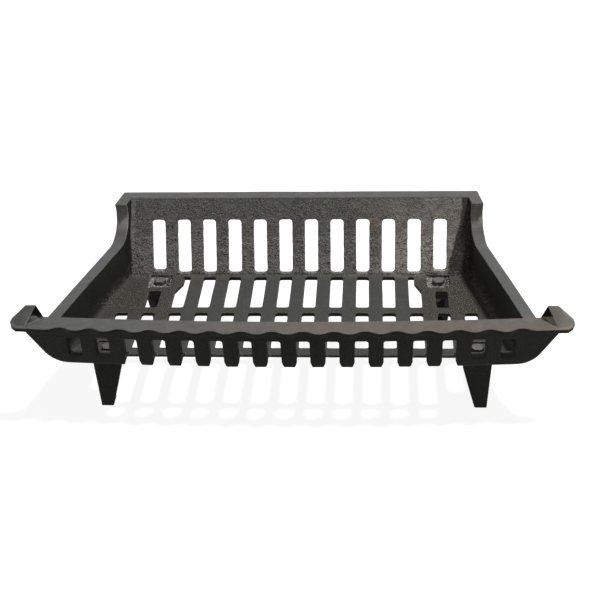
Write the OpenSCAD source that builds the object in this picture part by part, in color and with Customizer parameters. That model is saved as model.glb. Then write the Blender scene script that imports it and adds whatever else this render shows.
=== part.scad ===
// Cast-iron log grate: a slotted basket on four bolted legs.
// Millimetres. The ground is z = 0, +Y is the back of the fireplace,
// and the origin is under the middle of the whole grate.

/* [Overall] */
// Width between the outer sides of the two horns
overall_w = 616; // [590:1:680]
// Depth from the scalloped edge to the back of the top rim
overall_d = 265; // [250:1:300]
// Height of the floor's top face above the ground
floor_h = 70; // [60:1:100]
// Height of the back above the floor
back_h = 90.4; // [80:0.2:110]

/* [Casting] */
// Thickness of the floor
floor_t = 5; // [4:0.5:8]
// Thickness of the side walls
side_t = 8; // [6:0.5:10]
// Thickness of the back panel
back_t = 5.5; // [4.5:0.5:8]
// Lean of the back panel from upright, in degrees
back_lean = 22.3; // [15:0.1:26]
// Radius of the fillets at the foot of the side walls
foot_r = 8; // [4:0.5:10]
// Radius of the fillet at the foot of the back
back_foot_r = 4.5; // [2:0.25:5]

/* [Slots] */
// Distance from one slot to the next
pitch = 31.75; // [30:0.05:33]
// Width of the slots in the floor and the front
slot_w = 15.1; // [12:0.1:18]
// Width of the slots in the back
back_slot_w = 16.2; // [12:0.1:19]
// Height of the lower end of the back's slots above the floor
back_slot_low = 2.6; // [2:0.2:10]
// Height of the upper end of the back's slots above the floor
back_slot_high = 64.6; // [50:0.2:68]
// Corner radius of the slots
slot_r = 3; // [1:0.25:5]
// Gap between the back and the rear row of floor slots
back_gap = 3.4; // [2:0.2:6]
// Length of the rear row of floor slots
rear_row_l = 72.5; // [60:0.5:73]
// Length of the front row of floor slots
front_row_l = 75; // [60:0.5:78]
// Width of the cross bar between the two rows
cross_bar_w = 13; // [10:0.5:18]
// Height of the front slots' upper end above the floor
front_slot_high = 32.5; // [28:0.5:36]
// Width of the strip between the front row and the front slots
strip_w = 15.4; // [13:0.1:18]
// How far the strip's front edge slants back, 5 mm under the floor
strip_bevel = 8; // [2:0.1:9]

/* [Front] */
// Height of the rail and of the side rims above the floor
rim_h = 48; // [44:0.5:54]
// Thickness of the rail
rail_t = 5; // [4:0.25:7]
// Width of the rail from its rear edge to the tops of its lobes
rail_w = 26; // [24:0.5:32]
// How far the middle of the front stands forward of the ends
bow = 8; // [4:0.5:10]
// Distance from one lobe of the rail's edge to the next
lobe_pitch = 33.4; // [31:0.1:34]
// Depth of the hollows between the lobes
lobe_rise = 5.5; // [3:0.25:6]
// Thickness of the front wall at its top
front_t = 12; // [10:0.5:13]
// Height of the horns above the rail
horn_h = 16; // [10:0.5:22]
// Width of a horn's tip
horn_tip_w = 11; // [8:0.5:14]
// Distance of a horn's tip from the outer side of the grate
horn_tip_in = 18; // [14:0.5:20]

/* [Rims] */
// Width of the rims on the side walls
rim_w = 14.5; // [12:0.5:18]
// Height of the rims' outer edge
rim_t = 8; // [5:0.5:10]
// Depth of the rim on top of the back
back_rim_w = 16.7; // [15:0.1:20]
// How far the rims lie inside the horns' outer sides, at the rail
rim_front_in = 39.5; // [36:0.5:44]
// How far they lie inside, where they begin to rise
rim_bend_in = 78; // [74:0.5:82]
// How far they lie inside, at the back
rim_back_in = 87.5; // [84:0.5:92]
// Radius of the curve by which a side rim rises to the back
rise_r = 31; // [25:0.5:36]

/* [Legs] */
// Width of a leg at its top
leg_w = 32; // [29:0.5:34]
// Width of a leg's foot
foot_w = 13.8; // [12:0.2:18]
// Lean of a leg's outer face over its height
leg_lean = 3.2; // [1:0.2:5]
// Thickness of a leg's two webs
leg_t = 6; // [4:0.5:6]
// Height of the solid foot at the bottom of a leg
foot_h = 5; // [3:0.5:10]
// Thickness of the plate on top of a leg
plate_t = 7; // [5:0.5:9]
// Height of the bosses under the floor
boss_h = 4; // [3:0.5:6]

/* [Fasteners] */
// Diameter of the bolts
bolt_d = 8; // [6:0.5:9]
// Clearance of the bolts in their holes, on the diameter
bolt_gap = 1; // [0.6:0.1:1.6]
// Width across the flats of the bolt heads and nuts
hex_w = 13; // [11:0.5:14]
// Length of the bolts under the head
bolt_l = 25; // [24:0.5:30]
// Height of the bolt heads
head_h = 5.3; // [4:0.1:7]
// Height of the nuts
nut_h = 6.5; // [5:0.1:8]
// Diameter of the washers
washer_d = 17; // [15:0.5:19]
// Clearance of the washers from the legs' webs
washer_gap = 0.4; // [0.2:0.1:2]
// Thickness of the washers
washer_t = 1.6; // [1:0.1:2.5]
// Depth of the square pockets round the bolt heads
pocket_h = 2.5; // [1.5:0.25:3.5]
// Width of those pockets
pocket_w = 28; // [24:0.5:29]

/* [Hidden] */

iron = "#45433f";
leg_iron = "#393733";
steel = "#5a5650";

eps = 0.01;
far = 1000;
left = -1;
right = 1;

// Heights above the ground
floor_z = floor_h;
under_z = floor_z - floor_t;
boss_z = under_z - boss_h;
rim_z = floor_z + rim_h;
top_z = floor_z + back_h;
rail_low_z = rim_z - rail_t;

// Depths, from the middle of the grate
back_y = overall_d / 2;
front_y = -overall_d / 2;
lean = tan(back_lean);
panel_top_y = back_y - back_rim_w;
panel_y = panel_top_y - lean * back_h;
panel_run = back_t / cos(back_lean);
rear_row_y = panel_y - back_gap - rear_row_l;
front_row_y = rear_row_y - cross_bar_w - front_row_l;
slot_end_y = front_row_y - strip_w;
rail_y = front_y + rail_w;

// Half widths over the rims: at the rail, where they begin to rise, and at the back
rim_front_x = overall_w / 2 - rim_front_in;
rim_bend_x = overall_w / 2 - rim_bend_in;
rim_back_x = overall_w / 2 - rim_back_in;

// The bowed front is one arc, struck from a centre far behind the grate
bow_x = 250;
bow_r = (bow_x * bow_x + bow * bow) / (2 * bow);
bow_fn = 1440;
sweep = 10;

// Plan of the side rims: front end, bend and back
side_front_y = rail_y;
rail_end_y = rail_y + bow;
bend_y = panel_y - 12;
side_slope = (rim_front_x - rim_bend_x) / (bend_y - rail_end_y);
side_turn = atan(side_slope);
rear_turn = atan((rim_bend_x - rim_back_x) / (back_y - bend_y));
rise_y = bend_y + 1;
rise_z = rim_z + rise_r;

// Slopes of the front wall: how far its faces lie behind the foremost line
wall_top_in = 7;
wall_low_in = 15;
wall_foot = slot_end_y + 3 - front_y;

// Bevels on the lower ends of the front bars
bevel_w = 2.2;
bevel_h = 2;

// Number of slots across the back, and of lobes on the rail
back_margin = 14;
columns = floor(2 * (rim_back_x - rim_w - back_margin) / pitch);
mid_column = (columns + 1) / 2;
end_l = 24;
lobes = floor((overall_w - 2 * end_l) / lobe_pitch);

// Front corner outline
ear_x = overall_w / 2 - 11;
corner_r = 32;
corner_x = ear_x - 50;

// The horns' feet, from the outer side of the grate inwards
horn_foot_w = 36;
horn_foot_in = 19;
horn_foot_r = 17;
horn_ramp_w = 12;
horn_ramp_d = 12;
horn_ramp_h = 8;
horn_skin = 2;

// The outer slots, which are closed below or shortened, and the solid floor round the rear bolts
outer_slot_low = 6.4;
rear_outer_cut = 34.3;
front_outer_cut = 24;
pad_half = 29.6;
pad_back = 18;
pad_l = 38;
pad_step = 8;

// Legs
front_leg_x = slot_x(columns + 1) + 1.6;
rear_leg_x = slot_x(columns) - 2.6;
rear_leg_y = panel_y - 14.7;
front_leg_y = slot_end_y + 14.6;
leg_top_z = boss_z;
leg_drop = leg_lean * (plate_t + washer_t + nut_h) / leg_top_z;
leg_out = washer_d / 2 + washer_gap + leg_t + leg_drop;
boss_w = leg_w + 3;
boss_in = leg_out - leg_w / 2;
head_z = floor_z - pocket_h;
nut_top_z = boss_z - plate_t - washer_t;
bolt_end_z = head_z - bolt_l;
hex_d = hex_w / cos(30);
pad_in_x = rear_leg_x - pad_half;

function slot_x(c) = (c - mid_column) * pitch;
function arc(x, y, r, from, to, steps = 8) =
    [for (i = [0 : steps]) let (a = from + (to - from) * i / steps) [x + r * cos(a), y + r * sin(a)]];

// A rectangle with rounded corners, centred on its own middle
module soft_rect(w, l, r) {
    square([w - 2 * r, l], center = true);
    square([w, l - 2 * r], center = true);
    for (x = [-1, 1], y = [-1, 1])
        translate([x * (w / 2 - r), y * (l / 2 - r)]) circle(r, $fn = 32);
}

// Draws a profile of (y, z) points as a plate that runs along X
module along_x(from, to) {
    translate([from, 0, 0])
        rotate([90, 0, 90]) linear_extrude(to - from) children();
}

// Draws a profile of (x, z) points as a plate that runs along Y
module along_y(from, to) {
    translate([0, to, 0])
        rotate([90, 0, 0]) linear_extrude(to - from) children();
}

// Sweeps a profile of (distance behind the foremost line, z) points along the bow
module along_bow() {
    translate([0, front_y + bow_r, 0])
        rotate([0, 0, -90 - sweep / 2])
            rotate_extrude(angle = sweep, $fn = bow_fn)
                translate([bow_r, 0]) mirror([1, 0]) children();
}

// Plan of one side between two lines parallel to the rim's outer edge
module side_plan(outer, inner) {
    start_x = rim_front_x + side_slope * (rail_end_y - side_front_y);
    polygon([
        [start_x - inner, side_front_y], [start_x - outer, side_front_y],
        [rim_bend_x - outer, bend_y], [rim_back_x - outer, back_y],
        [rim_back_x - inner, back_y], [rim_bend_x - inner, bend_y]
    ]);
}

// Everything below a line that lies `drop` below the sweeping top edge of a side
module side_profile(drop) {
    difference() {
        polygon([
            [slot_end_y, under_z], [panel_y + panel_run - lean * floor_t, under_z],
            [panel_top_y + panel_run, top_z - rim_t], [back_y, top_z - rim_t],
            [back_y, top_z - drop], [rise_y, top_z - drop],
            [rise_y, rim_z - drop], [side_front_y, rim_z - drop],
            [side_front_y, floor_z + foot_r], [slot_end_y, floor_z]
        ]);
        translate([rise_y, rise_z]) circle(rise_r + drop, $fn = 96);
    }
}

// One side: a thin upright wall with a wider rim along its top
module side_wall() {
    intersection() {
        linear_extrude(far) side_plan(rim_w - side_t, rim_w);
        along_x(0, far) side_profile(0);
    }
    intersection() {
        linear_extrude(far) side_plan(0, rim_w);
        along_x(0, far) difference() {
            side_profile(0);
            side_profile(rim_t);
        }
    }
}

// Fillet at the foot of one side wall
module side_fillet() {
    run = (bend_y - slot_end_y) / cos(side_turn);
    translate([rim_bend_x - rim_w, bend_y, floor_z])
        rotate([0, 0, side_turn]) translate([0, eps - run, 0])
            along_y(0, run) difference() {
                translate([-foot_r, -eps]) square([foot_r + 1, foot_r]);
                translate([-foot_r, foot_r]) circle(foot_r, $fn = 48);
            }
}

// Cutter that rounds the lower outer edge of one side wall, before and behind its bend
module side_round() {
    run = 2 * (back_y - bend_y);
    translate([rim_bend_x - rim_w + side_t, bend_y, under_z]) {
        rotate([0, 0, side_turn]) along_y((slot_end_y - bend_y) / cos(side_turn), 0) round_profile();
        rotate([0, 0, rear_turn]) along_y(-eps, run) round_profile();
    }
}

// What has to go from a lower outer edge to leave it round
module round_profile() {
    difference() {
        translate([-side_t, -1]) square([2 * side_t, side_t + 1]);
        translate([-side_t, side_t]) circle(side_t, $fn = 48);
        translate([-side_t, side_t - eps]) square([side_t, 1]);
    }
}

module floor_plate() {
    inner = rim_w - side_t / 2;
    front_x = rim_front_x - inner;
    translate([0, 0, under_z]) linear_extrude(floor_t)
        polygon([
            [-front_x, slot_end_y - 5], [front_x, slot_end_y - 5],
            [rim_bend_x - inner, bend_y], [rim_back_x - inner, panel_y + panel_run / 2],
            [inner - rim_back_x, panel_y + panel_run / 2], [inner - rim_bend_x, bend_y]
        ]);
}

// The leaning back between the side walls' outer faces, with its top rim over their full width
module back_panel() {
    intersection() {
        along_x(-rim_bend_x, rim_bend_x) {
            polygon([
                [panel_y - lean * floor_t, under_z], [panel_top_y, top_z],
                [panel_top_y + panel_run, top_z],
                [panel_y + panel_run - lean * floor_t, under_z]
            ]);
            back_fillet();
        }
        linear_extrude(far) back_plan(rim_w - side_t);
    }
    intersection() {
        along_x(-rim_bend_x, rim_bend_x) polygon([
            [panel_top_y - lean * rim_t, top_z - rim_t], [panel_top_y, top_z],
            [back_y, top_z], [back_y, top_z - rim_t]
        ]);
        linear_extrude(far) back_plan(0);
    }
}

// Plan of the rear part of the grate, `inset` inside the rims' outer edges
module back_plan(inset) {
    bend_x = rim_bend_x - inset;
    back_x = rim_back_x - inset;
    polygon([
        [-bend_x, 0], [bend_x, 0], [bend_x, bend_y], [back_x, back_y],
        [-back_x, back_y], [-bend_x, bend_y]
    ]);
}

// Fillet between the floor and the leaning back
module back_fillet() {
    turn = 90 - back_lean;
    reach = back_foot_r / tan((180 - turn) / 2);
    difference() {
        polygon([
            [panel_y - reach, floor_z - eps], [panel_y + 1, floor_z - eps],
            [panel_y + 1 + lean * reach, floor_z + reach * cos(back_lean)],
            [panel_y + reach * sin(back_lean), floor_z + reach * cos(back_lean)]
        ]);
        translate([panel_y - reach, floor_z + back_foot_r]) circle(back_foot_r, $fn = 48);
    }
}

// Outline of the whole front, with rounded lower corners and ears under the rail
module front_outline() {
    polygon(concat(
        [[0, rim_z]], [[ear_x, rim_z]],
        arc(corner_x, under_z + corner_r, corner_r, -30, -90),
        [[0, under_z]]
    ));
}

// The front wall bows forward and curves into the floor, and is slotted down to its lower edge
module front_wall() {
    top = wall_top_in;
    low = wall_low_in;
    difference() {
        intersection() {
            along_bow() polygon([
                [low + 2, boss_z], [wall_foot + 4, boss_z], [wall_foot + 4, floor_z],
                [wall_foot, floor_z], [top + front_t + 3, floor_z + foot_r],
                [top + front_t, rail_low_z + 1], [top, rail_low_z + 1],
                [low - 2, floor_z + 3], [low - 1, under_z + 2]
            ]);
            for (s = [left, right]) scale([s, 1, 1])
                along_y(-far, 0) front_outline();
        }
        for (c = [-1 : columns + 2]) {
            length = (c < 1 || c > columns) ? front_slot_high - outer_slot_low : 2 * floor_h;
            translate([slot_x(c), 0, 0]) along_y(front_y - 10, 0)
                translate([0, floor_z + front_slot_high - length / 2])
                    soft_rect(slot_w, length, slot_r);
        }
    }
}

// Plan of the rail: a bowed strip whose front edge waves in and out
module rail_plan() {
    wave_r = (pow(lobe_pitch / 4, 2) + pow(lobe_rise / 2, 2)) / lobe_rise;
    half = lobe_pitch * lobes / 2;
    difference() {
        union() {
            intersection() {
                on_bow(0, bow_r) circle(bow_r - lobe_rise / 2, $fn = bow_fn);
                translate([-half, front_y]) square([2 * half, 2 * rail_w]);
            }
            for (i = [0 : lobes - 1])
                on_bow(i - (lobes - 1) / 2, wave_r) circle(wave_r, $fn = 64);
        }
        for (i = [0 : lobes - 2])
            on_bow(i - lobes / 2 + 1, lobe_rise - wave_r) circle(wave_r, $fn = 64);
        on_bow(0, bow_r) circle(bow_r - rail_w, $fn = bow_fn);
    }
}

// Moves a shape to the lobe position `i` along the bow, `depth` behind its foremost line
module on_bow(i, depth) {
    turn = i * lobe_pitch / bow_r * 180 / PI;
    r = bow_r - depth;
    translate([r * sin(turn), front_y + bow_r - r * cos(turn)]) children();
}

// Depth of the bow's foremost line at a distance `x` from the middle
function bow_y(x) = front_y + bow_r - sqrt(bow_r * bow_r - x * x);

// One end of the rail: a last long lobe, which runs out past the rim to the horn
module rail_end() {
    side_x = overall_w / 2;
    inner_x = lobe_pitch * (lobes - 1) / 2;
    back = rail_end_y;
    polygon([
        [inner_x, back - 1], [side_x - 1, back], [side_x, back - 9],
        [side_x - 3, back - 17], [side_x - 9, bow_y(side_x) - 1],
        [side_x - 15, bow_y(side_x - 15)], [inner_x, bow_y(inner_x)]
    ]);
}

// One horn: a lug that curls up from the rear corner of the rail's end, with a ramp at its foot
module horn() {
    side_x = overall_w / 2;
    tip_out_x = side_x - horn_tip_in;
    tip_in_x = tip_out_x - horn_tip_w;
    foot_x = side_x - horn_foot_in;
    foot_d = horn_foot_r + 3;
    back = rail_end_y;
    hull() {
        translate([0, 0, rail_low_z]) linear_extrude(rail_t) polygon(concat(
            arc(side_x - horn_foot_r, back - 3, horn_foot_r, 0, -90),
            [[foot_x, back - foot_d], [foot_x, back], [side_x - 1, back]]
        ));
        translate([tip_in_x, back - horn_skin, rim_z + horn_h - 1])
            cube([horn_tip_w, horn_skin, 1]);
    }
    lean = (foot_x - tip_in_x) / horn_h;
    ridge_h = horn_h * (1 - horn_ramp_d / foot_d);
    hull() {
        along_y(back - 4, back - 1) polygon([
            [foot_x - horn_ramp_w, rim_z - 1], [foot_x - horn_ramp_w, rim_z],
            [foot_x - lean * horn_ramp_h + 0.5, rim_z + horn_ramp_h], [foot_x + 1, rim_z - 1]
        ]);
        translate([foot_x - lean * ridge_h + 0.5, back - horn_ramp_d, rim_z - 1])
            cube([0.5, 1, ridge_h + 1]);
        translate([foot_x + 0.5, back - foot_d + 0.5, rim_z - 1]) cube([1.5, 1, 0.7]);
    }
    along_y(back - horn_skin, back) polygon([
        [side_x - horn_foot_w, rim_z - 1], [side_x - horn_foot_w, rim_z],
        [tip_in_x, rim_z + horn_h], [tip_out_x, rim_z + horn_h],
        [side_x - 3, rim_z], [side_x - 3, rim_z - 1]
    ]);
}

// Cutters for the floor's two rows of slots
module floor_slots() {
    for (c = [1 : columns]) {
        outer = (c == 1 || c == columns);
        length = outer ? rear_row_l - rear_outer_cut : rear_row_l;
        translate([slot_x(c), rear_row_y + length / 2]) soft_rect(slot_w, length, slot_r);
    }
    for (c = [0 : columns + 1]) {
        outer = (c == 0 || c == columns + 1);
        length = outer ? front_row_l - front_outer_cut : front_row_l;
        translate([slot_x(c), front_row_y + front_row_l - length / 2])
            soft_rect(slot_w, length, slot_r);
    }
}

// The solid floor round a rear leg's bolt, which narrows the slot beside it
module leg_pad() {
    polygon([
        [pad_in_x, panel_y], [pad_in_x, panel_y - pad_back],
        [pad_in_x + pad_step, panel_y - pad_l], [rim_bend_x, panel_y - pad_l],
        [rim_bend_x, panel_y]
    ]);
}

// Cutter for the part of a front slot that runs into the floor, and for the flare at its bottom,
// which ends in a slant at the floor's front edge
module front_slot() {
    length = slot_end_y - front_y + 20;
    half = slot_w / 2;
    low_z = under_z - 5;
    flare_z = floor_z + bevel_h;
    flare = bevel_w * (flare_z - low_z) / (bevel_h + floor_t);
    translate([0, slot_end_y - length / 2, low_z])
        linear_extrude(floor_z + 1 - low_z) soft_rect(slot_w, length, slot_r);
    intersection() {
        along_y(front_y - 10, 0) polygon([
            [-half, flare_z], [half, flare_z], [half + flare, low_z], [-half - flare, low_z]
        ]);
        along_x(-slot_w, slot_w) polygon([
            [front_y - 10, flare_z], [slot_end_y - slot_r - 1, flare_z],
            [slot_end_y + strip_bevel, low_z], [front_y - 10, low_z]
        ]);
    }
}

// Cutter for one slot in the back, whose lower end is raised by `lift`
module back_slot(lift) {
    h = back_slot_high - back_slot_low - lift;
    along_y(panel_y - 20, back_y) translate([0, floor_z + back_slot_high - h / 2])
        soft_rect(back_slot_w, h, slot_r + 1);
}

// Places its children on each of the four legs' bolt axes, turned to that corner
module at_legs() {
    for (s = [left, right]) {
        at_front(s) children();
        at_rear(s) children();
    }
}

module basket() {
    color(iron) difference() {
        union() {
            floor_plate();
            back_panel();
            for (s = [left, right]) scale([s, 1, 1]) {
                side_wall();
                side_fillet();
                horn();
                translate([0, 0, rail_low_z]) linear_extrude(rail_t) rail_end();
            }
            front_wall();
            translate([0, 0, rail_low_z]) linear_extrude(rail_t) rail_plan();
            translate([0, 0, boss_z]) at_legs()
                linear_extrude(boss_h + eps) translate([boss_in, -boss_in])
                    soft_rect(boss_w, boss_w, 4);
        }
        translate([0, 0, under_z - 1]) linear_extrude(floor_t + 2) difference() {
            floor_slots();
            for (s = [left, right]) scale([s, 1]) leg_pad();
        }
        intersection() {
            translate([-far, slot_end_y, 0]) cube([2 * far, far, far]);
            for (s = [left, right]) scale([s, 1, 1]) side_round();
        }
        for (c = [1 : columns]) translate([slot_x(c), 0, 0]) front_slot();
        for (c = [1 : columns])
            translate([slot_x(c), 0, 0]) back_slot(c == 1 || c == columns ? 3 : 0);
        at_legs() {
            translate([0, 0, head_z]) linear_extrude(far) square(pocket_w, center = true);
            translate([0, 0, boss_z - 1]) cylinder(d = bolt_d + bolt_gap, h = far, $fn = 48);
        }
    }
}

// One leg for the front right: an angle section with an upright front web and an outer web
// that leans in a little
module leg() {
    color(leg_iron) difference() {
        intersection() {
            along_y(-leg_w, leg_w) leg_side(leg_lean);
            along_x(-leg_w, leg_w) mirror([1, 0]) leg_side(0);
        }
        intersection() {
            along_y(-leg_w, leg_w) leg_hollow(leg_lean);
            along_x(-leg_w, leg_w) mirror([1, 0]) leg_hollow(0);
        }
        translate([0, 0, leg_top_z - plate_t - 1])
            cylinder(d = bolt_d + bolt_gap, h = plate_t + 2, $fn = 48);
    }
}

// Outline of a leg from one side, with its outer edge leaning in by `lean_in`
module leg_side(lean_in) {
    polygon([
        [leg_out - leg_w, leg_top_z], [leg_out, leg_top_z], [leg_out - lean_in, 0],
        [leg_out - lean_in - foot_w, 0], [leg_out - leg_w, leg_top_z - plate_t]
    ]);
}

// Outline of the hollow behind a leg's webs
module leg_hollow(lean_in) {
    face = leg_out - leg_t;
    high = leg_top_z - plate_t;
    polygon([
        [-2 * leg_w, high], [face - lean_in * plate_t / leg_top_z, high],
        [face - lean_in * (1 - foot_h / leg_top_z), foot_h], [-2 * leg_w, foot_h]
    ]);
}

module bolt() {
    color(steel) {
        translate([0, 0, head_z]) cylinder(d = hex_d, h = head_h, $fn = 6);
        translate([0, 0, bolt_end_z]) cylinder(d = bolt_d, h = head_z - bolt_end_z + eps, $fn = 48);
    }
}

module washer() {
    color(steel) translate([0, 0, nut_top_z]) difference() {
        cylinder(d = washer_d, h = washer_t, $fn = 64);
        translate([0, 0, -1]) cylinder(d = bolt_d + bolt_gap / 2, h = washer_t + 2, $fn = 48);
    }
}

module nut() {
    color(steel) translate([0, 0, nut_top_z - nut_h]) difference() {
        cylinder(d = hex_d, h = nut_h, $fn = 6);
        translate([0, 0, -1]) cylinder(d = bolt_d, h = nut_h + 2, $fn = 48);
    }
}

module at_front(side) {
    translate([side * front_leg_x, front_leg_y, 0]) scale([side, 1, 1]) children();
}

module at_rear(side) {
    translate([side * rear_leg_x, rear_leg_y, 0]) scale([side, -1, 1]) children();
}

module front_left_leg() { at_front(left) leg(); }
module front_right_leg() { at_front(right) leg(); }
module rear_left_leg() { at_rear(left) leg(); }
module rear_right_leg() { at_rear(right) leg(); }
module front_left_bolt() { at_front(left) bolt(); }
module front_right_bolt() { at_front(right) bolt(); }
module rear_left_bolt() { at_rear(left) bolt(); }
module rear_right_bolt() { at_rear(right) bolt(); }
module front_left_washer() { at_front(left) washer(); }
module front_right_washer() { at_front(right) washer(); }
module rear_left_washer() { at_rear(left) washer(); }
module rear_right_washer() { at_rear(right) washer(); }
module front_left_nut() { at_front(left) nut(); }
module front_right_nut() { at_front(right) nut(); }
module rear_left_nut() { at_rear(left) nut(); }
module rear_right_nut() { at_rear(right) nut(); }

basket();
front_left_leg();
front_right_leg();
rear_left_leg();
rear_right_leg();
front_left_bolt();
front_right_bolt();
rear_left_bolt();
rear_right_bolt();
front_left_washer();
front_right_washer();
rear_left_washer();
rear_right_washer();
front_left_nut();
front_right_nut();
rear_left_nut();
rear_right_nut();
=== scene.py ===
"""Cast-iron log grate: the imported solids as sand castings, with their bolts, washers and nuts."""

import math

import bmesh
import bpy
from bpy.props import (
    FloatProperty,
    FloatVectorProperty,
    IntProperty,
    PointerProperty,
)
from mathutils import Matrix, Vector, noise
from mathutils.bvhtree import BVHTree


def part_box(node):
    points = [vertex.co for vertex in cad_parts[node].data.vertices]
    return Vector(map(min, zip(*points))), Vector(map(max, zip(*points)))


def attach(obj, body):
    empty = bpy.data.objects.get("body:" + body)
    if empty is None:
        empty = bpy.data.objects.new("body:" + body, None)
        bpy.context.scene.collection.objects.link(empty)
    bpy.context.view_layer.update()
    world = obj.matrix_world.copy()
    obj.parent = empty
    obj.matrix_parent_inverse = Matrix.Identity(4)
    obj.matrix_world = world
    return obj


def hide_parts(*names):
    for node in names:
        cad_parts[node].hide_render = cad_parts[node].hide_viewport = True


bl_info = {
    "name": "Log Grate",
    "version": (1, 0, 0),
    "blender": (4, 5, 0),
    "location": "3D View > Sidebar > Log Grate",
    "description": "Cast-iron log grate with bolted legs, on a pale studio floor",
    "category": "Add Mesh",
}

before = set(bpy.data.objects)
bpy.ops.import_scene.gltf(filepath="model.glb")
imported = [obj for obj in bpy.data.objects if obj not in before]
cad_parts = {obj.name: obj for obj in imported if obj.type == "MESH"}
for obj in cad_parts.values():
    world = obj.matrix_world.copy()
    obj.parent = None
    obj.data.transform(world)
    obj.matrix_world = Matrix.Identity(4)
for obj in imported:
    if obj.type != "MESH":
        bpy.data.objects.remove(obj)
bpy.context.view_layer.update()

BODY = "root"
CORNERS = ("front_left", "front_right", "rear_left", "rear_right")
MM = 0.001
FLOOR_Z = 70 * MM  # top of the basket's floor

# Making a casting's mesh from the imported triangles
WELD = 0.002 * MM  # corners closer than this are joined
TINY = 0.005 * MM  # edges and faces thinner than this are dissolved before the rounding
SLIVER = 0.06 * MM  # and those thinner than this at the end
FLAT = math.radians(1)  # faces that meet flatter than this are joined
SHARP = math.radians(30)  # edges sharper than this are rounded
MELT_CELL = 1.5 * MM  # spacing of the cuts where faces flow into each other
MELT_STEPS = 16
WAVE_SEED = 1  # fixes the waves; 0 would take them from the clock

# The least share of the coarse skin that any iron has
LEAST_SANDY = 0.05

# Bolts
SHANK = 4 * MM  # radius
TIP_RADIUS = SHANK - 1.4 * MM
TIP_LENGTH = 0.9 * MM
THREAD_END = 1.2 * MM  # the thread ends this far above the lowest point
THREAD_STEPS = 6  # rings in one turn of the thread

# Washers and nuts: radius of the bore, and width of the cut edges
WASHER_BORE = 4.25 * MM
WASHER_LIP = 0.35 * MM
NUT_BORE = 4.05 * MM
NUT_LIP = 0.5 * MM

# The cone that cuts off a hexagon's corners: its slope, and its flat top against the hexagon
CONE = math.radians(30)
CONE_TOP = 0.96


# ---------------------------------------------------------------- settings

class CastingSettings(bpy.types.PropertyGroup):
    """Shape of the sand castings' skin."""

    basket_edge: FloatProperty(
        name="Basket Edge", description="Width of the basket's rounded edges",
        default=0.0009, min=0.0, unit="LENGTH", subtype="DISTANCE")
    leg_edge: FloatProperty(
        name="Leg Edge", description="Width of the legs' rounded edges",
        default=0.0011, min=0.0, unit="LENGTH", subtype="DISTANCE")
    cell: FloatProperty(
        name="Cell", description="Spacing of the cuts that let a casting's faces wave",
        default=0.014, min=0.005, unit="LENGTH", subtype="DISTANCE")
    wave: FloatProperty(
        name="Wave", description="How far a casting's surface strays from true",
        default=0.0003, min=0.0, unit="LENGTH", subtype="DISTANCE")
    wave_length: FloatProperty(
        name="Wave Length", description="Distance over which the surface strays",
        default=0.035, min=0.005, unit="LENGTH", subtype="DISTANCE")


class IronSettings(bpy.types.PropertyGroup):
    """Colours of the blackened iron."""

    # The floor's colour goes on every face of the basket that looks up, and the walls' colour on
    # the rest: the step between them is painted light and shade.
    floor_tone: FloatVectorProperty(
        name="Floor", description="Smooth blackened iron of the floor and its bars",
        default=(0.056, 0.056, 0.0515), min=0.0, max=1.0, size=3, subtype="COLOR")
    rail_tone: FloatVectorProperty(
        name="Rail", description="Handled iron along the top of the rail and rims",
        default=(0.130, 0.121, 0.112), min=0.0, max=1.0, size=3, subtype="COLOR")
    wall_tone: FloatVectorProperty(
        name="Walls", description="Blackest iron, on the upright and lower faces",
        default=(0.0142, 0.0150, 0.0108), min=0.0, max=1.0, size=3, subtype="COLOR")
    panel_tone: FloatVectorProperty(
        name="Back", description="Sandy iron of the back",
        default=(0.262, 0.259, 0.240), min=0.0, max=1.0, size=3, subtype="COLOR")
    # The bright grains in this colour are partly painted glints.
    bare_tone: FloatVectorProperty(
        name="Bare Grain", description="Bare grains and edges that show through the black",
        default=(0.42, 0.40, 0.37), min=0.0, max=1.0, size=3, subtype="COLOR")
    rust_tone: FloatVectorProperty(
        name="Rust", description="Rust that shows in patches",
        default=(0.19, 0.105, 0.066), min=0.0, max=1.0, size=3, subtype="COLOR")


class FastenerSettings(bpy.types.PropertyGroup):
    """Shape and colour of the bolts, washers and nuts."""

    thread_pitch: FloatProperty(
        name="Thread Pitch", description="Distance from one thread to the next",
        default=0.00125, min=0.0005, unit="LENGTH", subtype="DISTANCE")
    thread_depth: FloatProperty(
        name="Thread Depth", description="Depth of the thread",
        default=0.0007, min=0.0, unit="LENGTH", subtype="DISTANCE")
    plain_length: FloatProperty(
        name="Plain Length", description="Length of the shank above the thread",
        default=0.006, min=0.0, unit="LENGTH", subtype="DISTANCE")
    facets: IntProperty(
        name="Facets", description="Faces round a bolt, a multiple of six",
        default=48, min=12, max=96)
    steel_tone: FloatVectorProperty(
        name="Steel", description="Blackened steel of the fasteners",
        default=(0.13, 0.125, 0.12), min=0.0, max=1.0, size=3, subtype="COLOR")


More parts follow.
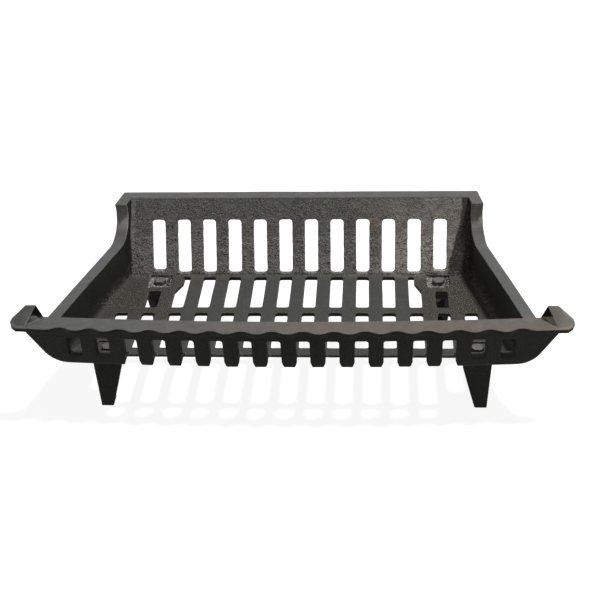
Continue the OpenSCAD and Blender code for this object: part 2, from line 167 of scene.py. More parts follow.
class StageSettings(bpy.types.PropertyGroup):
    """The floor, the lights and the camera."""

    floor_tone: FloatVectorProperty(
        name="Floor", description="Colour of the pale floor",
        default=(1.0, 1.0, 1.0), min=0.0, max=1.0, size=3, subtype="COLOR")
    floor_glow: FloatProperty(
        name="Floor Glow", description="How much of the floor's colour is seen in any shadow",
        default=0.9, min=0.0, max=1.0)
    shadow_tone: FloatVectorProperty(
        name="Floor Shadow", description="How much of the floor's colour a shadow takes",
        default=(0.34, 0.34, 0.34), min=0.0, max=1.0, size=3, subtype="COLOR")
    bounce_tone: FloatVectorProperty(
        name="Floor Bounce", description="Colour that the floor throws back on the iron",
        default=(0.1, 0.1, 0.1), min=0.0, max=1.0, size=3, subtype="COLOR")
    floor_size: FloatProperty(
        name="Floor Size", description="Width of the floor",
        default=16.0, min=2.0, unit="LENGTH", subtype="DISTANCE")
    ambient: FloatProperty(
        name="Ambient", description="Level of the even light from all round",
        default=0.13, min=0.0)
    key_power: FloatProperty(
        name="Key Power", description="Power of the soft light above",
        default=145.0, min=0.0, unit="POWER", subtype="POWER")
    key_size: FloatProperty(
        name="Key Size", description="Width of the soft light above",
        default=0.5, min=0.1, unit="LENGTH", subtype="DISTANCE")
    key_distance: FloatProperty(
        name="Key Distance", description="Distance of the soft light from the grate",
        default=4.0, min=0.5, unit="LENGTH", subtype="DISTANCE")
    key_side: FloatProperty(
        name="Key Side", description="Lean of the soft light to the right",
        default=math.radians(18), unit="ROTATION", subtype="ANGLE")
    key_front: FloatProperty(
        name="Key Front", description="Lean of the soft light to the front",
        default=math.radians(-5), unit="ROTATION", subtype="ANGLE")
    camera_place: FloatVectorProperty(
        name="Camera Place", description="Where the camera stands",
        default=(0.09006, -1.17087, 0.78062), size=3, unit="LENGTH", subtype="TRANSLATION")
    camera_pitch: FloatProperty(
        name="Camera Pitch", description="How far the camera looks down",
        default=0.53704, unit="ROTATION", subtype="ANGLE")
    camera_yaw: FloatProperty(
        name="Camera Yaw", description="How far the camera looks to the right",
        default=-0.07176, unit="ROTATION", subtype="ANGLE")
    camera_roll: FloatProperty(
        name="Camera Roll", description="How far the camera leans",
        default=-0.03575, unit="ROTATION", subtype="ANGLE")
    lens: FloatProperty(
        name="Lens", description="Focal length on a 36 mm sensor, in millimetres",
        default=69.302, min=10.0)


# ---------------------------------------------------------------- shader maths

class Term:
    """A node's output that takes part in Python expressions."""

    def __init__(self, shader, socket):
        self.shader = shader
        self.socket = socket

    def math(self, operation, *values):
        return self.shader.node(
            "ShaderNodeMath", {"operation": operation}, dict(enumerate(values)))

    def __add__(self, other):
        return self.math("ADD", self, other)

    def __sub__(self, other):
        return self.math("SUBTRACT", self, other)

    def __mul__(self, other):
        return self.math("MULTIPLY", self, other)

    def __truediv__(self, other):
        return self.math("DIVIDE", self, other)

    def __pow__(self, other):
        return self.math("POWER", self, other)

    def __rsub__(self, other):
        return self.math("SUBTRACT", other, self)

    def __rtruediv__(self, other):
        return self.math("DIVIDE", other, self)

    def __abs__(self):
        return self.math("ABSOLUTE", self)

    __radd__ = __add__
    __rmul__ = __mul__

    def more(self, other):
        return self.math("MAXIMUM", self, other)

    def less(self, other):
        return self.math("MINIMUM", self, other)


class Shader:
    """One material or world, built from expressions."""

    def __init__(self, owner):
        owner.use_nodes = True
        self.owner = owner
        self.tree = owner.node_tree
        self.tree.nodes.clear()

    def node(self, kind, settings=None, values=None, output=0):
        """Adds a node, sets it up, fills its sockets and returns one output."""
        made = self.tree.nodes.new(kind)
        for key, value in (settings or {}).items():
            setattr(made, key, value)
        for key, value in (values or {}).items():
            if isinstance(value, Term):
                self.tree.links.new(value.socket, made.inputs[key])
            else:
                made.inputs[key].default_value = value
        return Term(self, made.outputs[output]) if made.outputs else None

    def place(self):
        return self.node("ShaderNodeTexCoord", output="Object")

    def facing(self):
        return self.node("ShaderNodeNewGeometry", output="Normal")

    def split(self, vector):
        first = self.node("ShaderNodeSeparateXYZ", values={0: vector})
        return [Term(self, socket) for socket in first.socket.node.outputs]

    def step(self, value, low, high):
        """Rises smoothly from 0 to 1 as the value goes from low to high."""
        return self.node(
            "ShaderNodeMapRange", {"interpolation_type": "SMOOTHSTEP"},
            {"Value": value, "From Min": low, "From Max": high})

    def noise(self, place, size, detail=2.0, rough=0.5, bend=0.0):
        """Noise whose lumps are about `size` metres across."""
        return self.node(
            "ShaderNodeTexNoise", None,
            {"Vector": place, "Scale": 1 / size, "Detail": detail,
             "Roughness": rough, "Distortion": bend})

    def mix(self, factor, first, second):
        """Blends two colours."""
        return self.node(
            "ShaderNodeMix", {"data_type": "RGBA"},
            {0: factor, 6: colour(first), 7: colour(second)}, 2)

    def stretch(self, place, by):
        return self.node(
            "ShaderNodeVectorMath", {"operation": "MULTIPLY"}, {0: place, 1: by})

    def bump(self, height, distance):
        return self.node("ShaderNodeBump", None, {"Height": height, "Distance": distance})

    def finish(self, values):
        """Ends the material in its surface shader."""
        surface = self.node("ShaderNodeBsdfPrincipled", None, values)
        self.node("ShaderNodeOutputMaterial", None, {"Surface": surface})
        return self.owner


def colour(value):
    """A colour as a socket takes it, with its alpha."""
    if isinstance(value, Term) or len(value) == 4:
        return value
    return (*value, 1.0)


# ---------------------------------------------------------------- finishes

def shade(tone, red, green=None, blue=None):
    """A colour made darker or lighter, by one factor or by three."""
    factors = (red, red if green is None else green, red if blue is None else blue)
    return [v * f for v, f in zip(tone, factors)]


# Colours that belong to one place only
CORNER_CRUST = (0.030, 0.0265, 0.0175)
POCKET_CRUST = (0.2, 0.186, 0.168)
POCKET_DARK_SIDE = (0.012, 0.0115, 0.009)
# Bright specks on the rims' steep ends: partly chipped bare iron, partly painted glints.
POST_CHIPS_AND_GLINTS = (0.7, 0.68, 0.63)
# Painted shade on the upper part of the horns' inner sides.
HORN_PAINTED_SHADE = (0.0055, 0.0058, 0.0048)
SLOT_EDGE = (0.56, 0.51, 0.42)

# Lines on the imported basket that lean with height: the place at height 0, and the slope
WALL_LINE = (0.2316, -0.1833)  # inner faces of the side walls at the back, from the middle
BACK_LINE = (0.0503, 0.4075)  # face of the back
CORNER_LINE = (0.2164, -0.08)  # corner between the back and a side wall, from the middle
RIDGE_LINE = (0.3628, -0.625)  # inner ridges of the horns, from the middle

# Stains on the back: middle x and z, half width and half height, colour
STAINS = (
    (0.0905, 0.128, 0.005, 0.010, (0.478, 0.246, 0.145)),
    (0.0945, 0.108, 0.005, 0.020, (0.225, 0.210, 0.162)),
    (0.0710, 0.100, 0.003, 0.026, (0.246, 0.123, 0.123)),
    (0.0620, 0.112, 0.006, 0.030, (0.196, 0.177, 0.189)),
    (-0.0030, 0.111, 0.009, 0.036, (0.171, 0.167, 0.177)),
    (-0.0360, 0.114, 0.006, 0.034, (0.254, 0.203, 0.189)),
    (-0.0970, 0.116, 0.008, 0.038, (0.217, 0.191, 0.186)),
    (0.1270, 0.108, 0.009, 0.034, (0.60, 0.52, 0.44)),
    (0.1590, 0.108, 0.010, 0.036, (0.56, 0.49, 0.44)),
    (0.1940, 0.112, 0.011, 0.042, (0.52, 0.45, 0.41)),
)


class Iron(Shader):
    """Blackened cast iron, with the places and noises that its finishes share."""

    def __init__(self, name, tones):
        super().__init__(bpy.data.materials.new(name))
        self.tones = tones
        self.spot = self.place()
        self.x, self.y, self.z = self.split(self.spot)
        self.side, self.toward, self.up = self.split(self.facing())
        self.cloud = self.noise(self.spot, 55 * MM, 4.0, 0.6)
        self.smear = self.noise(self.spot, 12 * MM, 4.0, 0.65)
        self.peel = self.noise(self.spot, 4 * MM, 3.0, 0.6)
        self.grit = self.noise(self.spot, 1.9 * MM, 2.5, 0.65)
        self.fine = self.noise(self.spot, 1.4 * MM, 1.0, 0.5)
        self.mottle = self.step(self.cloud, 0.35, 0.65)

    def leaning(self, line):
        """The place of a leaning line at each height."""
        at_ground, slope = line
        return at_ground + slope * self.z

    def walls(self):
        """Colour of the upright and lower faces, darker than the basket's tops as painted shade."""
        black = self.tones.wall_tone
        return self.mix(self.mottle, black, shade(black, 0.75))

    def worn(self):
        """Mask of the rounded edges where the black is rubbed thin."""
        edge = self.node("ShaderNodeAttribute", {"attribute_name": "edge"}, None, "Fac")
        return edge * self.step(self.noise(self.spot, 6 * MM, 3.0, 0.7), 0.45, 0.65)

    def grain(self, base, sandy):
        """The colour with smears, pits and bright grains, which are bare iron and partly painted
        glints, and the mask of the pits.
        """
        black = self.tones.wall_tone
        pits = self.step(self.grit, 0.49, 0.42) * sandy
        # Bright specks: bare grains, and partly painted glints.
        bare = self.step(self.fine, 0.55, 0.63) * sandy
        base = self.mix(self.step(self.smear, 0.35, 0.7) * 0.22, base, shade(black, 1.2))
        base = self.mix(pits * 0.92, base, shade(black, 0.8))
        return self.mix(bare * 0.95, base, self.tones.bare_tone), pits

    def close(self, base, sandy, pits):
        """Ends the material, with a relief that is coarse where the skin is sandy."""
        relief = ((self.grit * 0.7 + self.fine * 0.8) * sandy
                  + self.peel * 0.1 + self.smear * 0.16 + self.cloud * 0.4)
        return self.finish({
            "Base Color": base,
            "Roughness": 0.54 + 0.16 * self.peel + 0.12 * pits,
            "Metallic": 0.0,
            "Specular IOR Level": 0.15,
            "Normal": self.bump(relief, 0.9 * MM),
        })


class BasketIron(Iron):
    """Iron of the basket: each method gives the mask or the colour of one place."""

    def window_shade(self):
        """Mask of the painted shade on the floor's left end, behind the front windows."""
        slant = 0.467 * self.y - 0.2050 - self.x
        across = self.step(slant, -0.0005, 0.0015) * self.step(self.x, -0.2, -0.205)
        along = self.step(self.y, -0.045, -0.06) * self.step(self.y, -0.101, -0.099)
        return across * along * self.step(self.z, 0.086, 0.082)

    def rims(self):
        """Masks of the rims' steep ends at the back, and of the rail and all the rims."""
        outside = abs(self.x) - self.leaning(WALL_LINE)
        ahead = self.leaning(BACK_LINE) - self.y
        post = self.step(outside, -0.0002, 0.0010) * self.step(self.toward, -0.2, -0.4)
        post = post * self.step(ahead, 0.003, 0.006)
        above = self.step(self.up, 0.3, 0.6).more(post * self.step(self.z, 0.116, 0.12))
        return post, self.step(self.z, 0.113, 0.1165) * above

    def back(self, rim):
        """Mask of the sandy back, without its rims and the side walls."""
        back = self.step(self.y, 0.066, 0.074)
        back = back * self.step(self.z, FLOOR_Z - 0.001, FLOOR_Z + 0.004)
        back = back * (1 - rim) * self.step(abs(self.x), 0.2115, 0.2095)
        wall = self.step(abs(self.x), 0.2, 0.203) * self.step(abs(self.side), 0.4, 0.6)
        return back * (1 - wall)

    def corners(self, back):
        """Mask of the floor's crusted ends."""
        across = self.step(abs(self.x), 0.125, 0.16)
        along = self.step(self.y, -0.085, -0.03)
        return across * along * self.step(self.z, 0.088, 0.077) * (1 - back)

    def pockets(self):
        """Masks of the pockets round the rear bolts, and of the dark right part of each."""
        middle, depth = centre_of(*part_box("rear_right_washer"))
        across = abs(abs(self.x) - middle)
        along = abs(self.y - depth)
        sunk = self.step(self.z, FLOOR_Z - 0.0002, FLOOR_Z - 0.0012)
        sunk = sunk * self.step(self.z, 0.062, 0.063)
        square = self.step(across, 0.0165, 0.0145) * self.step(along, 0.0165, 0.0145)
        left = self.step(self.x + middle, 0.0065, 0.009) * self.step(self.x, 0.0, -0.001)
        right = self.step(self.x - middle, 0.0065, 0.009)
        return square * sunk, left + right

    def panel(self, inner, wall_shadow):
        """Colour of the back, with its stains, the painted shadow at its right end and the painted
        highlight along its left corner.
        """
        sandy = self.tones.panel_tone
        high = self.step(self.z, 0.133, 0.138)
        panel = self.mix(high * 0.45, sandy, shade(sandy, 0.6))
        right = self.step(self.x, 0.05, 0.15) * (0.6 + 0.4 * self.mottle)
        panel = self.mix(right, panel, shade(sandy, 2.05, 1.84, 1.78))
        for middle, height, wide, tall, stain in STAINS:
            across = abs(self.x - middle) / wide
            along = abs(self.z - height) / tall
            ragged = across * across + along * along + 2.4 * (self.smear - 0.5)
            panel = self.mix(self.step(ragged, 1.5, 0.1) * inner * 0.7, panel, stain)
        # A darker, broken line along the back's foot, where it meets the floor.
        seam = self.step(self.z, FLOOR_Z + 0.0045, FLOOR_Z + 0.002)
        seam = seam * self.step(self.smear, 0.3, 0.55)
        panel = self.mix(seam * 0.7, panel, shade(sandy, 0.35))
        # Painted shadow of the right side wall over the back's right end.
        panel = self.mix(wall_shadow * 0.9, panel, self.tones.wall_tone)
        # Painted highlight along the back's left corner with the side wall.
        fillet_highlight = self.step(self.x + self.leaning(CORNER_LINE), 0.0018, 0.0004)
        fillet_highlight = fillet_highlight * self.step(self.z, 0.09, 0.12)
        return self.mix(fillet_highlight * inner * 0.6, panel, shade(sandy, 2.2))

    def wall_shadow(self, inner):
        """Mask of the painted shadow of the right side wall on the back's right end, which widens
        downwards and deepens the lamp's own shadow.
        """
        spread = 0.015 * self.step(self.z, 0.15, 0.07) + 0.006 * self.smear
        return self.step(self.x + spread, 0.2015, 0.2045) * inner

    def rail(self, post):
        """Colour of the rail and rims: cool on the left and warm on the right, with painted shade
        and light on the rail's ends and painted light on the rims' steep ends.
        """
        handled = self.tones.rail_tone
        front = self.step(self.y, -0.085, -0.1)
        warm = self.step(self.x, -0.2, 0.06) * (0.55 + 0.45 * self.mottle)
        left, right = self.step(self.x, -0.25, -0.3), self.step(self.x, 0.27, 0.3)
        rail = self.mix(warm * front, shade(handled, 0.85, 0.92, 0.96),
                        shade(handled, 1.18, 1.05, 0.98))
        # The rail's left end darker and its right end lighter: painted shade and painted light, as
        # from a lamp on the right.
        rail = self.mix(front * left, rail, shade(handled, 0.8, 0.86, 0.9))
        rail = self.mix(front * right, rail, shade(handled, 1.6, 1.5, 1.41))
        # The rims' steep ends are lighter: partly worn bare iron, partly painted light where the
        # lamp does not reach.
        steep = post * self.step(self.up, 0.8, 0.2)
        rail = self.mix(steep, rail, shade(handled, 4.0, 4.1, 4.0))
        # Bright specks on the steep ends: partly chipped bare iron, partly painted glints.
        chips_and_glints = self.step(abs(abs(self.x - 0.005) - 0.2118), 0.0022, 0.001)
        chips_and_glints = post * chips_and_glints * self.step(self.z, 0.133, 0.14)
        return self.mix(chips_and_glints * self.step(self.fine, 0.5, 0.58), rail, POST_CHIPS_AND_GLINTS)

    def horns(self, base, horn):
        """The colour with the horns' inner sides: painted light on the right one's foot, painted
        shade on the left one's, and painted shade on both at the top.
        """
        handled = self.tones.rail_tone
        within = self.leaning(RIDGE_LINE) - abs(self.x)
        inward = horn * self.step(within, -0.0004, 0.0008)
        # The left foot is darkened as painted shade; the right foot, in the horn's own shadow, is
        # lightened as painted light.
        painted_foot = self.mix(self.step(self.x, 0.0, 0.001), shade(handled, 0.85, 0.9, 0.91),
                        shade(handled, 4.6, 4.3, 4.05))
        base = self.mix(inward, base, painted_foot)
        # Above a slanting line, both inner sides take painted shade.
        above = self.step(0.512 * self.y + 0.859 * self.z, 0.0518, 0.0532)
        return self.mix(inward * above, base, HORN_PAINTED_SHADE)


def basket_iron(name, tones):
    """Blackened iron of the basket: smooth on the rail and floor, sandy on the back."""
    s = BasketIron(name, tones)
    top = s.step(s.up, 0.35, 0.85)
    inner = s.step(s.toward, 0.1, -0.1)
    # Painted shadow of the right side wall on the back.
    wall_shadow = s.wall_shadow(inner)
    post, rim = s.rims()
    back = s.back(rim)
    corner = s.corners(back)
    crust = s.step(s.cloud * 0.5 + s.smear * 0.5, 0.42, 0.56)
    pocket, dark_side = s.pockets()
    horn = s.step(abs(s.x), 0.262, 0.264) * s.step(s.z, 0.1183, 0.1192)

    # Faces that look up take the lighter floor colour and all others the blackest: painted light
    # and shade, on top of the lamp's own.
    base = s.mix(top, s.walls(), tones.floor_tone)
    # Painted shade on the floor behind the left front windows.
    base = s.mix(s.window_shade() * 0.85, base, tones.wall_tone)
    base = s.mix(corner * (0.35 + 0.65 * crust), base, CORNER_CRUST)
    # Each pocket is darker in its right part.
    base = s.mix(pocket, base, s.mix(dark_side, POCKET_CRUST, POCKET_DARK_SIDE))
    base = s.mix(back, base, s.panel(inner, wall_shadow))
    base = s.mix(rim, base, s.rail(post))
    base = s.horns(base, horn)

    # The grain is fainter in the painted shadow at the back's right end.
    sandy = back * (0.45 + 0.55 * s.step(s.smear, 0.36, 0.56)) * (1 - 0.6 * wall_shadow)
    sandy = sandy + corner * 0.35 * crust + pocket
    sandy = (sandy * (1 - rim)).less(1) * (1 - LEAST_SANDY) + LEAST_SANDY
    base, pits = s.grain(base, sandy)

    worn = s.worn() * (1 - horn)
    rubbed = 0.08 + 0.3 * top * (1 - back) + 0.06 * back
    base = s.mix(worn * rubbed, base, shade(tones.bare_tone, 0.6))
    # Lighter slot edges on the right of the back: worn bare edges, and partly painted highlights.
    base = s.mix(worn * back * s.step(s.x, 0.09, 0.15) * 0.6, base, SLOT_EDGE)
    rust = s.step(s.noise(s.spot, 24 * MM, 5.0, 0.7, 0.6), 0.56, 0.68)
    base = s.mix(rust * (0.02 + 0.2 * corner + 0.22 * back), base, tones.rust_tone)
    return s.close(base, sandy, pits)


def leg_iron(name, tones):
    """Blackened iron of the legs, smooth all over."""
    s = Iron(name, tones)
    base, pits = s.grain(s.walls(), LEAST_SANDY)
    base = s.mix(s.worn() * 0.08, base, shade(tones.bare_tone, 0.5))
    return s.close(base, LEAST_SANDY, pits)


def steel(name, tone):
    """Blackened steel of the bolts, washers and nuts, crusted with brown and bare specks."""
    s = Shader(bpy.data.materials.new(name))
    place = s.place()
    smear = s.noise(s.stretch(place, (1.0, 1.0, 4.0)), 4 * MM, 3.0, 0.6)
    speck = s.noise(place, 1.6 * MM, 3.0, 0.7)
    crust = s.step(speck, 0.52, 0.66)
    grain = s.noise(place, 1.3 * MM, 2.0)
    base = s.mix(s.step(smear, 0.35, 0.7), tone, shade(tone, 0.5))
    base = s.mix(crust * 0.7, base, (0.125, 0.1, 0.082))
    base = s.mix(s.step(grain, 0.47, 0.4) * 0.8, base, (0.02, 0.018, 0.015))
    base = s.mix(s.step(grain, 0.54, 0.62) * 0.8, base, (0.29, 0.27, 0.24))
    return s.finish({
        "Base Color": base,
        "Roughness": 0.45 + 0.25 * smear,
        "Metallic": 0.3 - 0.3 * crust,
        "Normal": s.bump(smear * 0.3 + speck * 0.7, 0.25 * MM),
    })


def background(owner):
    """A shader, and the mask of the rays that see it as the white background."""
    s = Shader(owner)
    rays = s.node("ShaderNodeLightPath")
    outputs = rays.socket.node.outputs
    watched = Term(s, outputs["Is Camera Ray"])
    watched = watched.more(Term(s, outputs["Is Glossy Ray"]))
    watched = watched.more(Term(s, outputs["Is Transmission Ray"]))
    return s, watched


# ---------------------------------------------------------------- shapes

def inside(point, low, high):
    """Whether a point lies in a box."""
    return all(a <= c <= b for c, a, b in zip(point, low, high))


def centre_of(low, high):
    """Middle of a box, seen from above."""
    return (low[0] + high[0]) / 2, (low[1] + high[1]) / 2


def cut_places(taken, low, high, cell):
    """Places about a cell apart, each moved to the middle of the widest free gap near it."""
    count = int((high - low) / cell)
    places = []
    for i in range(1, count):
        place = low + (high - low) * i / count
        near = sorted({place - cell / 3, place + cell / 3,
                       *(v for v in taken if abs(v - place) < cell / 3)})
        gap, first = max((b - a, a) for a, b in zip(near, near[1:]))
        places.append(first + gap / 2)
    return places


def slice_up(shape, low, high, cell):
    """Cuts the faces whose middles lie in a box into cells, and marks the cuts as seams.

    The keys of a dictionary keep their order, so that each run makes the same cuts.
    """
    for axis in range(3):
        normal = Vector([float(axis == i) for i in range(3)])
        faces = [f for f in shape.faces if inside(f.calc_center_bounds(), low, high)]
        taken = {round(v.co[axis], 5) for f in faces for v in f.verts}
        for place in cut_places(taken, low[axis], high[axis], cell):
            edges = dict.fromkeys(e for f in faces for e in f.edges)
            corners = dict.fromkeys(v for f in faces for v in f.verts)
            cut = bmesh.ops.bisect_plane(
                shape, geom=[*corners, *edges, *faces],
                dist=TINY, plane_co=normal * place, plane_no=normal)
            faces = [g for g in cut["geom"] if isinstance(g, bmesh.types.BMFace)]
            for part in cut["geom_cut"]:
                if isinstance(part, bmesh.types.BMEdge):
                    part.seam = True


def round_edges(shape, edge, truth):
    """Rounds the sharp edges, and marks their faces in the layer that the iron reads.

    A corner that the rounding throws off the true shape goes back to it.
    """
    sharp = [e for e in shape.edges if e.is_manifold and e.calc_face_angle(0) > SHARP]
    rounded = bmesh.ops.bevel(
        shape, geom=sharp, offset=edge, offset_type="OFFSET", segments=2, profile=0.5,
        affect="EDGES", clamp_overlap=False, loop_slide=True, miter_outer="SHARP")
    for vertex in shape.verts:
        spot, normal = truth.find_nearest(vertex.co)[:2]
        if (vertex.co - spot).dot(normal) > edge / 2:
            vertex.co = spot
    layer = shape.loops.layers.float.new("edge")
    for face in rounded["faces"]:
        for loop in face.loops:
            loop[layer] = 1.0


def melt_faces(shape, low, high):
    """Lets the faces in a box flow into each other."""
    slice_up(shape, low, high, MELT_CELL)
    soft = [v for v in shape.verts if inside(v.co, low, high)]
    for _ in range(MELT_STEPS):
        bmesh.ops.smooth_vert(
            shape, verts=soft, factor=0.5, use_axis_x=True, use_axis_y=True, use_axis_z=True)


def wave_surface(shape, low, high, settings, phase, rough):
    """Moves the surface by the casting's waves and lumps, and never out of the node's box."""
    shift = Vector((phase, 2.0 * phase, 3.0 * phase))
    noise.seed_set(WAVE_SEED)
    shape.normal_update()
    for vertex in shape.verts:
        stray = noise.noise_vector(vertex.co / settings.wave_length + shift)
        moved = vertex.co + stray * settings.wave
        for first, last, cell, depth in rough:
            if inside(vertex.co, first, last):
                lump = noise.noise(vertex.co / (2.2 * cell)) + 0.5 * noise.noise(vertex.co / cell)
                moved = moved + vertex.normal * (lump * depth)
        vertex.co = [min(max(c, a), b) for c, a, b in zip(moved, low, high)]


def cast_shape(node, edge, settings, phase, rough=(), melt=()):
    """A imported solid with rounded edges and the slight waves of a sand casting.

    Each box in `rough` has its lowest and highest corner, the size of its lumps and their depth.
    In the boxes of `melt`, the faces flow into each other.
    """
    low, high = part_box(node)
    shape = bmesh.new()
    shape.from_mesh(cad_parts[node].data)
    bmesh.ops.remove_doubles(shape, verts=shape.verts, dist=WELD)
    bmesh.ops.dissolve_degenerate(shape, dist=TINY, edges=shape.edges)
    truth = BVHTree.FromBMesh(shape)
    slice_up(shape, low, high, settings.cell)
    bmesh.ops.dissolve_limit(
        shape, angle_limit=FLAT, verts=shape.verts, edges=shape.edges, delimit={"SEAM"})
    round_edges(shape, edge, truth)
    bmesh.ops.triangulate(shape, faces=shape.faces)
    for first, last, cell, _ in rough:
        slice_up(shape, first, last, cell)
    for first, last in melt:
        melt_faces(shape, first, last)
    wave_surface(shape, low, high, settings, phase, rough)
    bmesh.ops.dissolve_degenerate(shape, dist=SLIVER, edges=shape.edges)
    bmesh.ops.triangulate(shape, faces=shape.faces)
    return shape


def add_piece(name, shape, material, node):
    """Makes an object of a shape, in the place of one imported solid."""
    mesh = bpy.data.meshes.new(name)
    shape.to_mesh(mesh)
    shape.free()
    mesh.polygons.foreach_set("use_smooth", [True] * len(mesh.polygons))
    mesh.materials.append(material)
    piece = bpy.data.objects.new(name, mesh)
    bpy.context.scene.collection.objects.link(piece)
    normals = piece.modifiers.new("Normals", "WEIGHTED_NORMAL")
    normals.weight = 90
    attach(piece, BODY)
    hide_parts(node)
    return piece


def join_rings(rings, looped):
    """Joins rings of points, each to the next; the ends are closed, or met in a loop."""
    shape = bmesh.new()
    made = [[shape.verts.new(point) for point in points] for points in rings]
    count = len(rings[0])
    pairs = list(zip(made, made[1:]))
    if looped:
        pairs.append((made[-1], made[0]))
    else:
        shape.faces.new(made[0][::-1])
        shape.faces.new(made[-1])
    for upper, lower in pairs:
        for i in range(count):
            j = (i + 1) % count
            shape.faces.new((upper[i], upper[j], lower[j], lower[i]))
    bmesh.ops.recalc_face_normals(shape, faces=shape.faces)
    return shape


def ring(centre, z, radius, count):
    """A ring of points; its height and its radius are numbers or functions of the angle."""
    angles = [2 * math.pi * i / count for i in range(count)]
    reach = radius if callable(radius) else lambda angle: radius
    height = z if callable(z) else lambda angle: z
    return [
        (centre[0] + reach(a) * math.cos(a), centre[1] + reach(a) * math.sin(a), height(a))
        for a in angles
    ]


def hexagon(half_width):
    """Distance of a hexagon's edge from its middle, by angle."""
    return lambda angle: half_width / math.cos(angle % (math.pi / 3) - math.pi / 6)


def hex_rings(centre, low, high, half_width, count, direction):
    """Rings of a hexagon's sides, its corners cut off by a cone at the `high` end.

    The direction is 1 where that end points up, and -1 where it points down.
    """
    reach = hexagon(half_width)
    flat = half_width * CONE_TOP

    def cut(angle):
        return high - direction * (reach(angle) - flat) * math.tan(CONE)

    return [ring(centre, high, flat, count), ring(centre, cut, reach, count),
            ring(centre, low, reach, count)]


# ---------------------------------------------------------------- operators

class GRATE_OT_basket(bpy.types.Operator):
    """Make the one-piece basket"""

    bl_idname = "grate.basket"
    bl_label = "Basket"

    def execute(self, context):
        casting = context.scene.grate_casting
        shape = cast_shape("basket", casting.basket_edge, casting, 0.0, self.rough(), self.feet())
        finish = basket_iron("basket_iron", context.scene.grate_iron)
        add_piece("basket_casting", shape, finish, "basket")
        return {"FINISHED"}

    def feet(self):
        """Boxes of the horns' feet on the rail."""
        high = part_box("basket")[1]
        near, far = high[0] - 30 * MM, high[0] - 15.5 * MM
        return [((a, -116.8 * MM, 118.6 * MM), (b, -99.5 * MM, 129 * MM))
                for a, b in ((near, far), (-far, -near))]

    def rough(self):
        """Boxes of the coarse places: the back's face and the pockets of the rear bolts."""
        low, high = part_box("basket")
        boxes = [((low[0], 71.5 * MM, FLOOR_Z + 1 * MM), (high[0], high[1], high[2] - 4 * MM),
                  3.6 * MM, 0.3 * MM)]
        for side in ("left", "right"):
            first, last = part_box("rear_" + side + "_washer")
            x, y = centre_of(first, last)
            half = 16.5 * MM
            boxes.append(((x - half, y - half, FLOOR_Z - 3.2 * MM),
                          (x + half, y + half, FLOOR_Z - 0.2 * MM), 1.6 * MM, 1.1 * MM))
        return boxes


class GRATE_OT_legs(bpy.types.Operator):
    """Make the four legs"""

    bl_idname = "grate.legs"
    bl_label = "Legs"

    def execute(self, context):
        casting = context.scene.grate_casting
        finish = leg_iron("leg_iron", context.scene.grate_iron)
        for phase, corner in enumerate(CORNERS, 1):
            shape = cast_shape(corner + "_leg", casting.leg_edge, casting, phase)
            add_piece(corner + "_leg_casting", shape, finish, corner + "_leg")
        return {"FINISHED"}


class GRATE_OT_bolts(bpy.types.Operator):
    """Make the four hexagon bolts with their threads"""

    bl_idname = "grate.bolts"
    bl_label = "Bolts"

    head_height: FloatProperty(
        name="Head Height", description="Height of a bolt's head",
        default=0.0053, unit="LENGTH", subtype="DISTANCE")

    def execute(self, context):
        sizes = context.scene.grate_fasteners
        finish = steel("bolt_steel", sizes.steel_tone)
        for corner in CORNERS:
            node = corner + "_bolt"
            low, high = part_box(node)
            centre = centre_of(low, high)
            half = (high[1] - low[1]) / 2
            under = high[2] - self.head_height
            count = sizes.facets
            rings = hex_rings(centre, under, high[2], half, count, 1)
            rings.append(ring(centre, under, SHANK, count))
            rings.append(ring(centre, under - sizes.plain_length, SHANK, count))
            step = sizes.thread_pitch / THREAD_STEPS
            z = under - sizes.plain_length - step
            while z > low[2] + THREAD_END:
                rings.append(ring(centre, z, self.thread(z, sizes), count))
                z -= step
            rings.append(ring(centre, low[2] + TIP_LENGTH, SHANK - sizes.thread_depth, count))
            rings.append(ring(centre, low[2], TIP_RADIUS, count))
            add_piece(node + "_steel", join_rings(rings, False), finish, node)
        return {"FINISHED"}

    def thread(self, z, sizes):
        """Distance of the thread's flank from the bolt's axis, by angle."""
        def reach(angle):
            turn = (z / sizes.thread_pitch + angle / (2 * math.pi)) % 1
            return SHANK - sizes.thread_depth * abs(2 * turn - 1)
        return reach


class GRATE_OT_washers(bpy.types.Operator):
    """Make the four washers"""

    bl_idname = "grate.washers"
    bl_label = "Washers"

    def execute(self, context):
        sizes = context.scene.grate_fasteners
        finish = steel("washer_steel", sizes.steel_tone)
        for corner in CORNERS:
            node = corner + "_washer"
            low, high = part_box(node)
            centre = centre_of(low, high)
            outer = (high[0] - low[0]) / 2
            inner, lip = WASHER_BORE, WASHER_LIP
            outline = [
                (inner, low[2] + lip), (inner, high[2] - lip), (inner + lip, high[2]),
                (outer - lip, high[2]), (outer, high[2] - lip), (outer, low[2] + lip),
                (outer - lip / 2, low[2]), (inner + lip, low[2]),
            ]
            rings = [ring(centre, z, radius, sizes.facets) for radius, z in outline]
            add_piece(node + "_steel", join_rings(rings, True), finish, node)
        return {"FINISHED"}


class GRATE_OT_nuts(bpy.types.Operator):
    """Make the four hexagon nuts"""

    bl_idname = "grate.nuts"
    bl_label = "Nuts"

    def execute(self, context):
        sizes = context.scene.grate_fasteners
        finish = steel("nut_steel", sizes.steel_tone)
        for corner in CORNERS:
            node = corner + "_nut"
            low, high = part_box(node)
            centre = centre_of(low, high)
            half = (high[1] - low[1]) / 2
            middle = (low[2] + high[2]) / 2
            count = sizes.facets
            upper = hex_rings(centre, middle, high[2], half, count, 1)
            lower = hex_rings(centre, middle, low[2], half, count, -1)
            mouth = NUT_BORE + NUT_LIP
            rings = [ring(centre, high[2] - NUT_LIP, NUT_BORE, count),
                     ring(centre, high[2], mouth, count)]
            rings += upper + lower[1::-1]
            rings += [ring(centre, low[2], mouth, count),
                      ring(centre, low[2] + NUT_LIP, NUT_BORE, count)]
            add_piece(node + "_steel", join_rings(rings, True), finish, node)
        return {"FINISHED"}


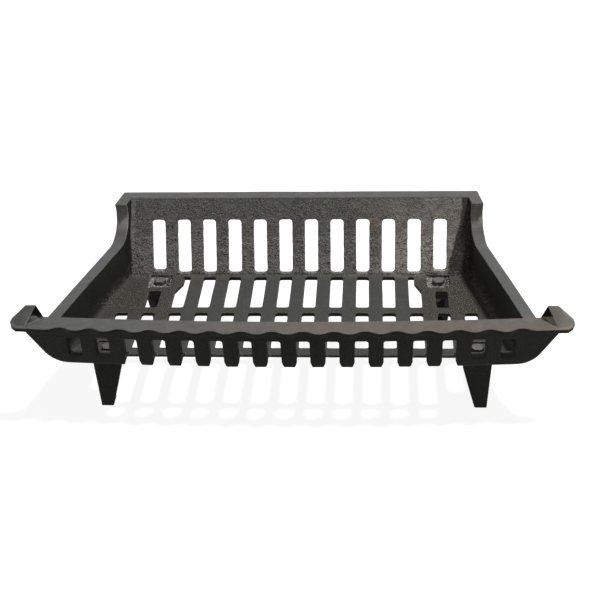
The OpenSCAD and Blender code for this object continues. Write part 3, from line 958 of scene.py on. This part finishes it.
class GRATE_OT_stage(bpy.types.Operator):
    """Set the floor, the lights and the camera"""

    bl_idname = "grate.stage"
    bl_label = "Stage"

    def execute(self, context):
        stage = context.scene.grate_stage
        self.lay_floor(context, stage)
        self.light(context, stage)
        self.place_camera(context, stage)
        context.scene.view_settings.view_transform = "Standard"
        return {"FINISHED"}

    def lay_floor(self, context, stage):
        half = stage.floor_size / 2
        shape = bmesh.new()
        bmesh.ops.create_grid(shape, x_segments=2, y_segments=2, size=half)
        mesh = bpy.data.meshes.new("floor")
        shape.to_mesh(mesh)
        shape.free()
        floor = bpy.data.objects.new("floor", mesh)
        context.scene.collection.objects.link(floor)
        material = bpy.data.materials.new("floor_white")
        s, watched = background(material)
        glow = s.node("ShaderNodeEmission", None,
                      {"Color": colour(stage.floor_tone), "Strength": stage.floor_glow})
        lit = s.node("ShaderNodeBsdfDiffuse", None, {"Color": colour(stage.shadow_tone)})
        seen = s.node("ShaderNodeAddShader", None, {0: glow, 1: lit})
        dull = s.node("ShaderNodeBsdfDiffuse", None, {"Color": colour(stage.bounce_tone)})
        both = s.node("ShaderNodeMixShader", None, {0: watched, 1: dull, 2: seen})
        s.node("ShaderNodeOutputMaterial", None, {"Surface": both})
        mesh.materials.append(material)

    def light(self, context, stage):
        world = bpy.data.worlds.new("studio")
        context.scene.world = world
        s, watched = background(world)
        strength = watched * (1 - stage.ambient) + stage.ambient
        sky = s.node("ShaderNodeBackground", None, {"Color": (1, 1, 1, 1), "Strength": strength})
        s.node("ShaderNodeOutputWorld", None, {"Surface": sky})
        aim = Vector((math.tan(stage.key_side), -math.tan(stage.key_front), 1)).normalized()
        lamp = bpy.data.lights.new("key", "AREA")
        lamp.energy = stage.key_power
        lamp.size = stage.key_size
        key = bpy.data.objects.new("key", lamp)
        key.location = aim * stage.key_distance
        key.rotation_euler = aim.to_track_quat("Z", "Y").to_euler()
        context.scene.collection.objects.link(key)

    def place_camera(self, context, stage):
        pitch, yaw, roll = stage.camera_pitch, stage.camera_yaw, stage.camera_roll
        ahead = Vector((math.sin(yaw) * math.cos(pitch), math.cos(yaw) * math.cos(pitch),
                        -math.sin(pitch)))
        right = Vector((math.cos(yaw), -math.sin(yaw), 0))
        above = right.cross(ahead)
        across = right * math.cos(roll) + above * math.sin(roll)
        above = above * math.cos(roll) - right * math.sin(roll)
        data = bpy.data.cameras.new("camera")
        data.sensor_width = 36
        data.lens = stage.lens
        camera = bpy.data.objects.new("camera", data)
        turn = Matrix((across, above, -ahead)).transposed().to_4x4()
        camera.matrix_world = Matrix.Translation(Vector(stage.camera_place)) @ turn
        context.scene.collection.objects.link(camera)
        context.scene.camera = camera


class GRATE_PT_panel(bpy.types.Panel):
    """Lists the grate's operators"""

    bl_idname = "GRATE_PT_panel"
    bl_label = "Log Grate"
    bl_space_type = "VIEW_3D"
    bl_region_type = "UI"
    bl_category = "Log Grate"

    def draw(self, context):
        for operator in OPERATORS:
            self.layout.operator(operator.bl_idname)


SETTINGS = {
    "grate_casting": CastingSettings,
    "grate_iron": IronSettings,
    "grate_fasteners": FastenerSettings,
    "grate_stage": StageSettings,
}
OPERATORS = (GRATE_OT_stage, GRATE_OT_basket, GRATE_OT_legs, GRATE_OT_bolts,
             GRATE_OT_washers, GRATE_OT_nuts)


def register():
    for kind in (*SETTINGS.values(), *OPERATORS, GRATE_PT_panel):
        bpy.utils.register_class(kind)
    for name, kind in SETTINGS.items():
        setattr(bpy.types.Scene, name, PointerProperty(type=kind))


def unregister():
    for name in SETTINGS:
        delattr(bpy.types.Scene, name)
    for kind in (GRATE_PT_panel, *OPERATORS, *SETTINGS.values()):
        bpy.utils.unregister_class(kind)


def main():
    register()
    for step in (bpy.ops.grate.stage, bpy.ops.grate.basket, bpy.ops.grate.legs,
                 bpy.ops.grate.bolts, bpy.ops.grate.washers, bpy.ops.grate.nuts):
        step()
    bpy.context.view_layer.update()


if __name__ == "__main__":
    main()
